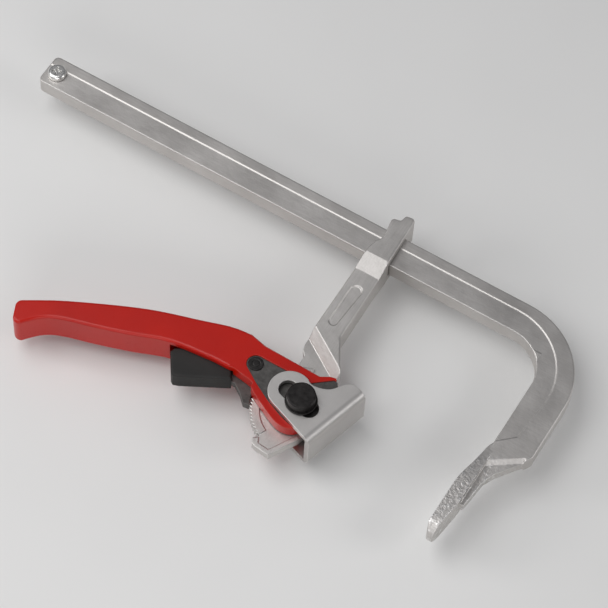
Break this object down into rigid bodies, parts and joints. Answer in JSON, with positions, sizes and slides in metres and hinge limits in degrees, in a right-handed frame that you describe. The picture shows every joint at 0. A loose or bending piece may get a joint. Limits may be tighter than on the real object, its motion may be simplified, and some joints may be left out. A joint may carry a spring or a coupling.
{
  "type": "f clamp",
  "caption": "F clamp: flat rail with bent fixed jaw, sliding arm with collar, ratchet lever and slotted, swivelling pressure plate.",
  "frame": {"origin": "on the fixed jaw's pad face, level with the main pin and halfway through the thickness", "axes": "+X along the rail from its free end to the fixed arm (the clamping direction), +Y from the jaws to the rail, +Z across the thickness"},
  "size_m": [0.3673, 0.1772, 0.0426],
  "materials": {
    "forged_steel": "satin plated, lightly pebbled forging skin",
    "plate_steel": "bright zinc, fine grain",
    "red_paint": "semi-gloss powder coat",
    "black_steel": "black oxide, oiled",
    "cam_steel": "dark hardened steel, satin",
    "trigger_plastic": "fine texture",
    "screw_steel": "bright zinc",
    "spring_steel": "drawn wire"
  },
  "bodies": {
    "rail_body": {"rail": "forged_steel", "end_stop_screw": "screw_steel"},
    "slider": {"sliding_arm": "forged_steel", "main_pin": "black_steel", "main_pin_rear_head": "black_steel", "pin_washer_front": "black_steel", "pin_washer_rear": "black_steel", "spacer_washer_front": "spring_steel", "spacer_washer_rear": "spring_steel"},
    "lever": {"handle": "red_paint", "cam_plate_front": "cam_steel", "cam_plate_rear": "cam_steel", "cam_rivet": "black_steel", "cam_rivet_ring": "black_steel", "trigger_spring": "spring_steel"},
    "release": {"trigger": "trigger_plastic", "pawl": "cam_steel"},
    "swivel": {"pin_sleeve_front": "black_steel", "pin_sleeve_rear": "black_steel"},
    "moving_jaw": {"pressure_plate": "plate_steel"}
  },
  "joints": [
    {"name": "arm_slide", "type": "slide", "parent": "rail_body", "child": "slider", "axis": [1, 0, 0], "range_m": [-0.21, 0.065]},
    {"name": "lever_hinge", "type": "hinge", "parent": "slider", "child": "lever", "pos_m": [-0.0945, 0, 0], "axis": [0, 0, 1], "range_deg": [-28, 34]},
    {"name": "trigger_hinge", "type": "hinge", "parent": "lever", "child": "release", "pos_m": [-0.1287, 0.0086, 0], "axis": [0, 0, -1], "range_deg": [0, 6.5], "stiffness_Nm_per_rad": 0.5, "springref_deg": -11.46, "deforming": ["trigger_spring"]},
    {"name": "plate_swivel", "type": "hinge", "parent": "slider", "child": "swivel", "pos_m": [-0.0945, 0, 0], "axis": [0, 0, 1], "range_deg": [0, 18]},
    {"name": "plate_advance", "type": "slide", "parent": "swivel", "child": "moving_jaw", "axis": [0.9613, -0.2756, 0], "range_m": [-0.0031, 0.0026]}
  ],
  "couplings": [
    {"joint": "plate_advance", "follows": "lever_hinge", "m_per_rad": -0.0051566}
  ]
}
